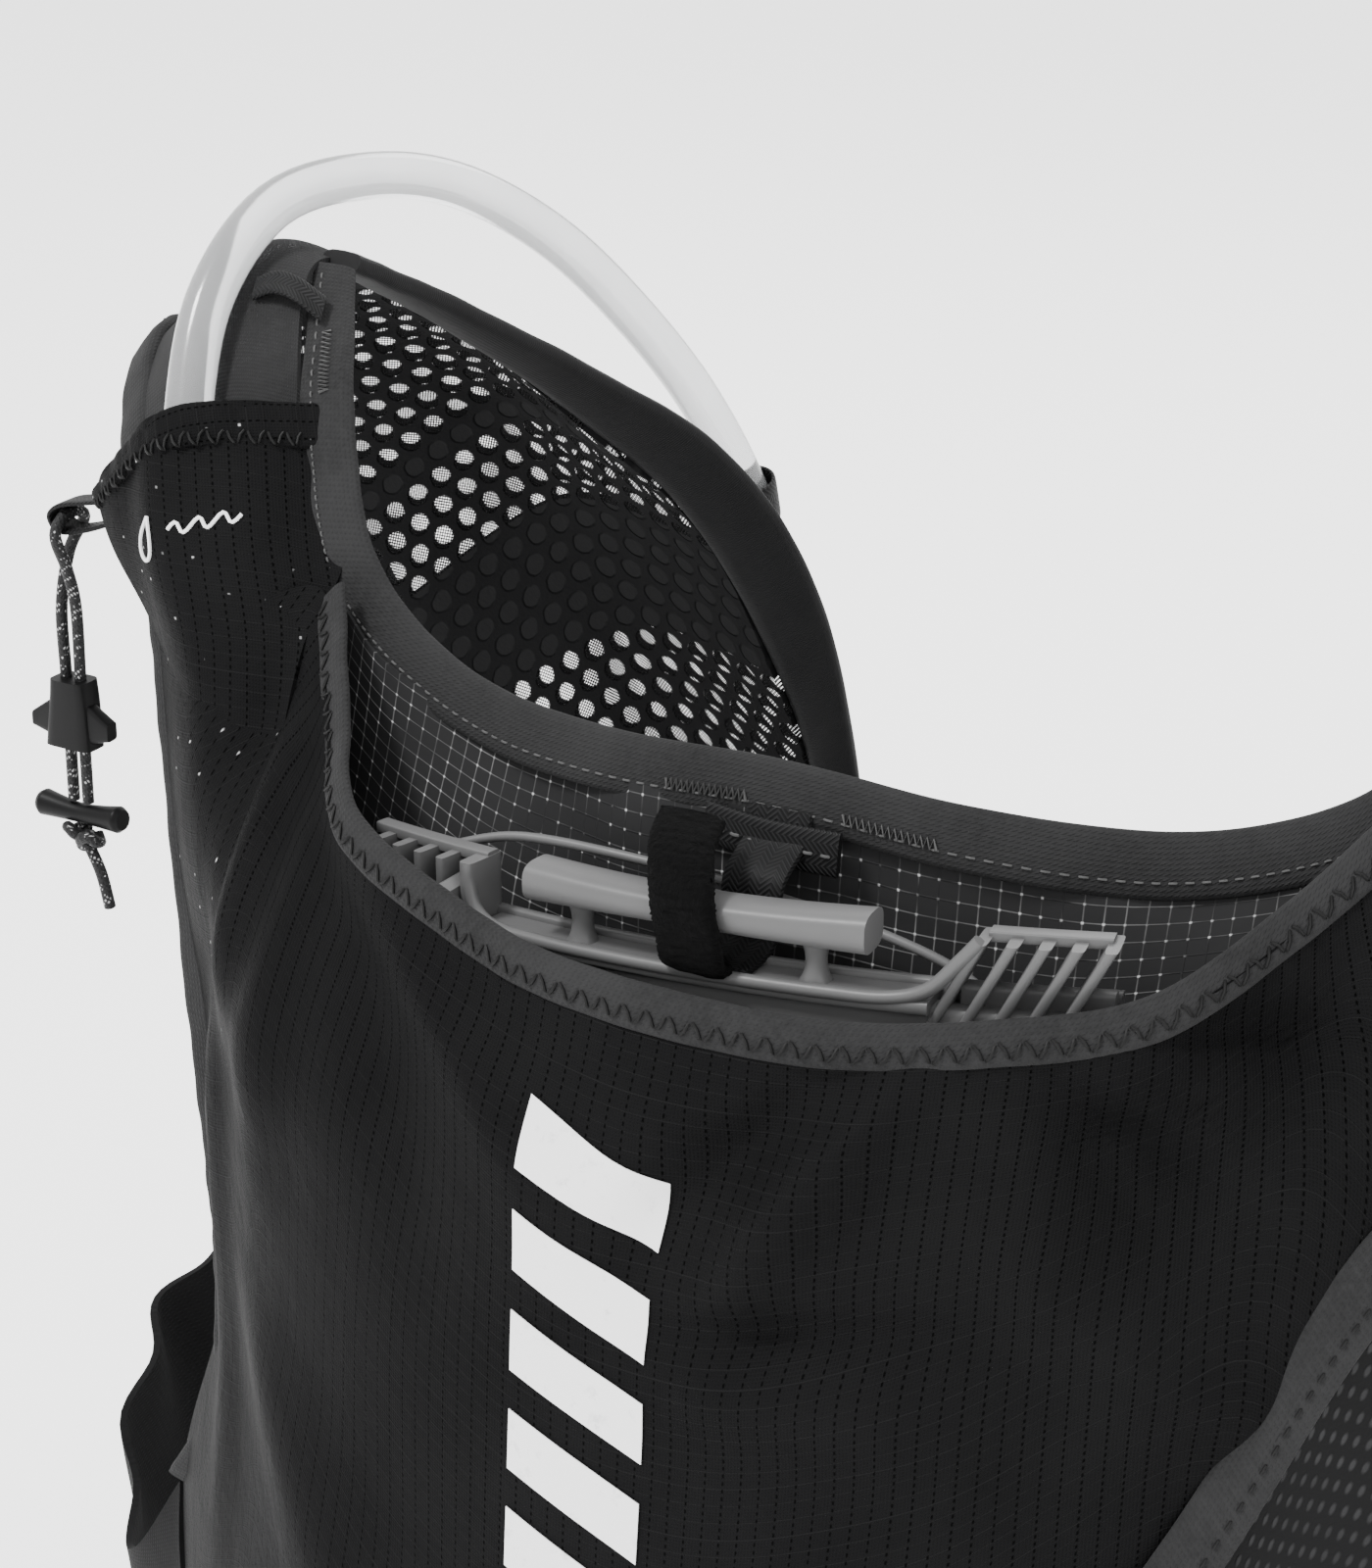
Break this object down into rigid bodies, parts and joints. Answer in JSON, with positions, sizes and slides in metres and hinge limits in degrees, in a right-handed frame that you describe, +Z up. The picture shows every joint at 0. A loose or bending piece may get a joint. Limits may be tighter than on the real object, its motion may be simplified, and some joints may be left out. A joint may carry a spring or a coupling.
{
  "type": "hydration pack",
  "caption": "Close-fitting running hydration pack with a back pocket holding a water bag, a drinking hose over one shoulder, front straps and chest straps.",
  "frame": {"origin": "midway between the two shoulder crests, where the pack is held up by its wearer", "axes": "+X to the wearer's right, -Y away from the wearer's back, +Z up"},
  "size_m": [0.406, 0.2555, 0.3929],
  "materials": {
    "shell_ripstop": "matte light woven ripstop",
    "lining_ripstop": "matte ripstop with a fine pale grid",
    "knit_tape": "brushed stretch knit tape, stitched",
    "smooth_tape": "smooth folded tape",
    "yoke_knit": "plain grey knit",
    "stretch_mesh": "stretch mesh with small dots",
    "wing_knit": "stretch knit",
    "spacer_mesh": "open spacer mesh",
    "webbing": "narrow woven webbing",
    "hook_loop": "brushed hook-and-loop",
    "elastic_cord": "flecked elastic cord",
    "clear_film": "soft clear film",
    "clear_hose": "clear flexible tube",
    "grey_plastic": "satin moulded plastic",
    "black_plastic": "satin moulded plastic"
  },
  "bodies": {
    "pack": {"back_lining": "lining_ripstop", "outer_shell": "shell_ripstop", "neckline_binding": "knit_tape", "mouth_binding": "knit_tape", "left_side_binding": "knit_tape", "right_side_binding": "knit_tape", "hem_binding": "knit_tape", "lower_pocket": "stretch_mesh", "lower_pocket_binding": "knit_tape", "left_shoulder_yoke": "yoke_knit", "right_shoulder_yoke": "yoke_knit", "left_port_sleeve": "shell_ripstop", "right_port_sleeve": "shell_ripstop", "left_keeper_loop": "webbing", "right_keeper_loop": "webbing", "left_strap_mesh": "spacer_mesh", "right_strap_mesh": "spacer_mesh", "left_strap_neck_binding": "smooth_tape", "right_strap_neck_binding": "smooth_tape", "left_strap_arm_binding": "knit_tape", "right_strap_arm_binding": "knit_tape", "left_flask_pocket": "stretch_mesh", "right_flask_pocket": "stretch_mesh", "left_flask_binding": "knit_tape", "right_flask_binding": "knit_tape", "left_wing": "wing_knit", "right_wing": "wing_knit", "left_rail": "black_plastic", "right_rail": "black_plastic", "left_cord_tab": "webbing", "right_cord_tab": "webbing", "left_pole_cord": "elastic_cord", "right_pole_cord": "elastic_cord", "left_cord_toggle": "black_plastic", "right_cord_toggle": "black_plastic", "reservoir_clip": "grey_plastic", "reservoir_bag": "clear_film", "clip_tether": "grey_plastic", "hang_tab_anchor": "webbing", "reservoir_outlet": "black_plastic", "hose": "clear_hose", "hose_loops": "webbing", "bite_valve_body": "black_plastic", "bite_sleeve": "clear_hose"},
    "tab_flap": {"hang_tab_flap": "hook_loop"},
    "left_lock": {"left_cord_lock": "black_plastic"},
    "right_lock": {"right_cord_lock": "black_plastic"},
    "release_button": {"connector_button": "grey_plastic"},
    "valve_lever": {"shutoff_lever": "grey_plastic"},
    "upper_left_slide": {"upper_left_slider": "black_plastic"},
    "upper_right_slide": {"upper_right_slider": "black_plastic"},
    "upper_strap": {"upper_strap_knuckle": "black_plastic", "upper_strap_web": "webbing", "upper_strap_eye": "black_plastic"},
    "lower_left_slide": {"lower_left_slider": "black_plastic"},
    "lower_right_slide": {"lower_right_slider": "black_plastic"},
    "lower_strap": {"lower_strap_knuckle": "black_plastic", "lower_strap_web": "webbing", "lower_strap_eye": "black_plastic"}
  },
  "joints": [
    {"name": "tab_flap_peel", "type": "hinge", "parent": "pack", "child": "tab_flap", "pos_m": [0, -0.089, -0.082], "axis": [1, 0, 0], "range_deg": [0, 75]},
    {"name": "left_cord_lock_slide", "type": "slide", "parent": "pack", "child": "left_lock", "axis": [0, 0, 1], "range_m": [-0.01, 0.006]},
    {"name": "right_cord_lock_slide", "type": "slide", "parent": "pack", "child": "right_lock", "axis": [0, 0, 1], "range_m": [-0.01, 0.006]},
    {"name": "connector_button_press", "type": "slide", "parent": "pack", "child": "release_button", "axis": [0, 1, 0], "range_m": [0, 0.0015], "stiffness_N_per_m": 400},
    {"name": "shutoff_lever_turn", "type": "hinge", "parent": "pack", "child": "valve_lever", "pos_m": [-0.086, 0.125, -0.22], "axis": [0, 1, 0], "range_deg": [-90, 0]},
    {"name": "upper_left_slider_slide", "type": "slide", "parent": "pack", "child": "upper_left_slide", "axis": [0, 0, 1], "range_m": [-0.012, 0.009]},
    {"name": "upper_right_slider_slide", "type": "slide", "parent": "pack", "child": "upper_right_slide", "axis": [0, 0, 1], "range_m": [-0.012, 0.009]},
    {"name": "upper_strap_swing", "type": "hinge", "parent": "upper_left_slide", "child": "upper_strap", "pos_m": [-0.049, 0.111, -0.16], "axis": [0, 0, 1], "range_deg": [0, 75]},
    {"name": "lower_left_slider_slide", "type": "slide", "parent": "pack", "child": "lower_left_slide", "axis": [0, 0, 1], "range_m": [-0.014, 0.02]},
    {"name": "lower_right_slider_slide", "type": "slide", "parent": "pack", "child": "lower_right_slide", "axis": [0, 0, 1], "range_m": [-0.014, 0.02]},
    {"name": "lower_strap_swing", "type": "hinge", "parent": "lower_left_slide", "child": "lower_strap", "pos_m": [-0.049, 0.111, -0.21], "axis": [0, 0, 1], "range_deg": [0, 75]}
  ],
  "couplings": [
    {"joint": "upper_right_slider_slide", "follows": "upper_left_slider_slide", "ratio": 1},
    {"joint": "lower_right_slider_slide", "follows": "lower_left_slider_slide", "ratio": 1}
  ]
}
